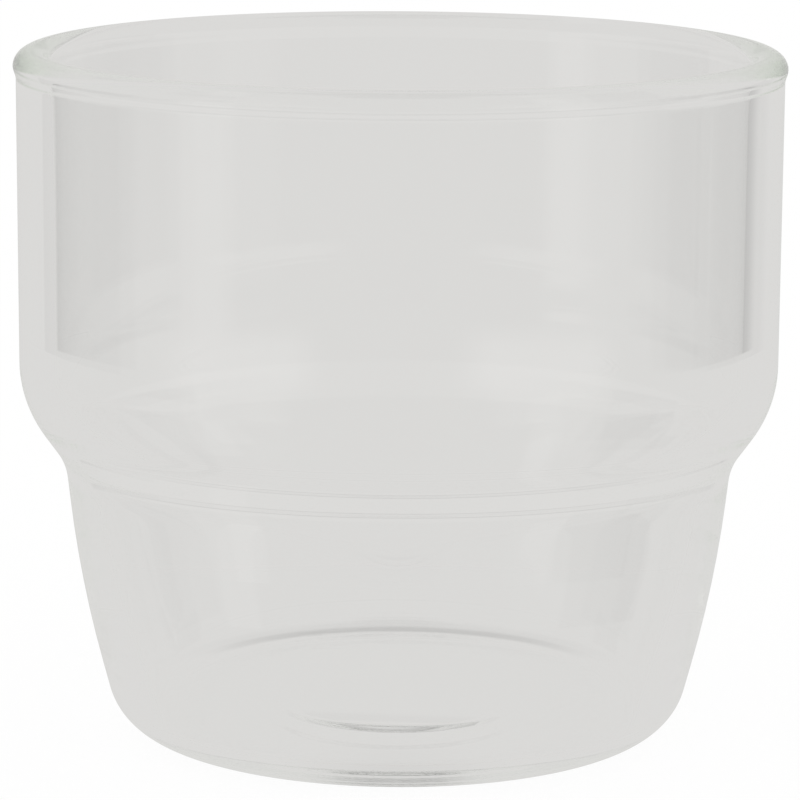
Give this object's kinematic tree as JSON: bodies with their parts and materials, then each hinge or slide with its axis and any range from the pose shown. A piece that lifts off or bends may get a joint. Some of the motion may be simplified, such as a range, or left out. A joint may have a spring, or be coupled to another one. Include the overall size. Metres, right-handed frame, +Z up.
{
  "type": "juice glass",
  "caption": "Clear stacking juice glass: straight upper wall with a rounded rim, a sloped shoulder and step, and a narrower tapered lower body on a flat base.",
  "frame": {"origin": "centre of the flat base, on the surface that the glass stands on", "axes": "+Z up along the glass's own axis, towards the mouth; the glass is round, so X and Y are free"},
  "size_m": [0.08, 0.08, 0.0721],
  "materials": {
    "clear_glass": "fire-polished, clear with a faint green edge"
  },
  "bodies": {
    "root": {"glass_body": "clear_glass"}
  },
  "joints": []
}
